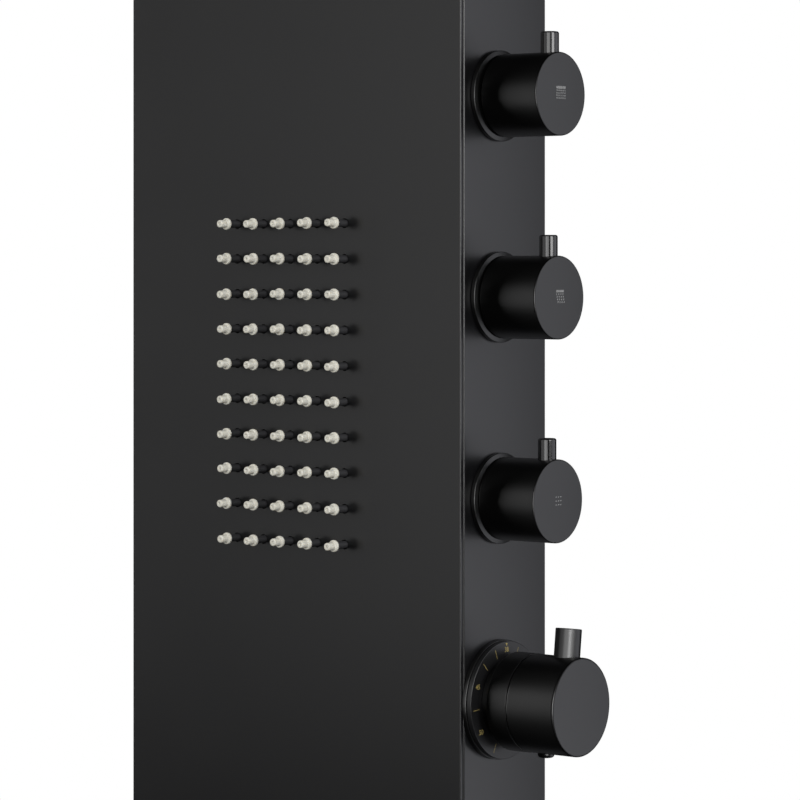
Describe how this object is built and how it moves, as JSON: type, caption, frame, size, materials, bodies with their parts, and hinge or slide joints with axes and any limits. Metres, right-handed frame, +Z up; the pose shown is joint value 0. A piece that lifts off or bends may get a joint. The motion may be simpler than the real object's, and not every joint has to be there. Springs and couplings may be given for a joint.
{
  "type": "rainfall shower column",
  "caption": "Wall-hung black shower column with forward rain canopy, grid of body jets, stop-valve knobs and a thermostatic mixer on its right side.",
  "frame": {"origin": "on the wall plane, at the centre of the upper wall bracket's back face", "axes": "+Z up the column, +Y into the wall (the front faces -Y), +X towards the knobs"},
  "size_m": [0.3053, 0.5, 1.4243],
  "materials": {
    "black_paint": "satin-matte black powder coat",
    "black_dial": "matte black with engraved yellow marks",
    "silicone": "moulded off-white silicone",
    "brass": "machined",
    "steel": "pressed stainless sheet",
    "abs": "moulded black ABS",
    "hose": "stainless braid over a rubber tube"
  },
  "bodies": {
    "casing": {"front_cover": "black_paint", "right_side_panel": "black_paint", "left_side_panel": "black_paint", "rear_panel": "black_paint", "bottom_cap": "black_paint", "rain_shell": "black_paint", "rain_plate": "black_paint", "jet_mat": "silicone", "rain_mat": "silicone", "jet_chamber": "abs", "rain_water_box": "abs", "cold_check_valve": "abs", "hot_check_valve": "abs", "upper_wall_bracket": "steel", "upper_hanger": "steel", "lower_wall_bracket": "steel", "lower_hanger": "steel", "canopy_bracket": "steel", "valve_manifold": "brass", "cold_inlet": "brass", "hot_inlet": "brass", "rain_base_ring": "black_paint", "rain_cartridge": "brass", "hand_base_ring": "black_paint", "hand_cartridge": "brass", "jets_base_ring": "black_paint", "jets_cartridge": "brass", "thermostat_rosette": "black_paint", "thermostat_sleeve": "black_paint", "hand_outlet_rosette": "black_paint", "hand_outlet": "black_paint", "thermostat_dial": "black_dial", "thermostat_cartridge": "brass", "jets_hose": "hose", "hand_hose": "hose", "rain_hose": "hose", "cold_hose": "hose", "hot_hose": "hose"},
    "rain_valve": {"rain_knob": "black_paint", "rain_lever": "black_paint", "rain_grub_screw": "steel", "rain_spindle": "brass"},
    "hand_valve": {"hand_knob": "black_paint", "hand_lever": "black_paint", "hand_grub_screw": "steel", "hand_spindle": "brass"},
    "jets_valve": {"jets_knob": "black_paint", "jets_lever": "black_paint", "jets_grub_screw": "steel", "jets_spindle": "brass"},
    "thermostat_control": {"thermostat_handle": "black_paint", "thermostat_lever": "black_paint", "thermostat_grub_screw": "steel", "thermostat_spindle": "brass", "button_spring": "steel"},
    "safety_button": {"thermostat_button": "black_paint"}
  },
  "joints": [
    {"name": "rain_turn", "type": "hinge", "parent": "casing", "child": "rain_valve", "pos_m": [0.11, -0.0395, -0.52], "axis": [1, 0, 0], "range_deg": [0, 90]},
    {"name": "hand_turn", "type": "hinge", "parent": "casing", "child": "hand_valve", "pos_m": [0.11, -0.0395, -0.62], "axis": [1, 0, 0], "range_deg": [0, 90]},
    {"name": "jets_turn", "type": "hinge", "parent": "casing", "child": "jets_valve", "pos_m": [0.11, -0.0395, -0.72], "axis": [1, 0, 0], "range_deg": [0, 90]},
    {"name": "temperature_turn", "type": "hinge", "parent": "casing", "child": "thermostat_control", "pos_m": [0.11, -0.0395, -0.82], "axis": [1, 0, 0], "range_deg": [-110, 131]},
    {"name": "safety_press", "type": "slide", "parent": "thermostat_control", "child": "safety_button", "axis": [0, 0, 1], "range_m": [0, 0.002], "stiffness_N_per_m": 300, "springref_m": -0.001, "deforming": ["button_spring"]}
  ]
}
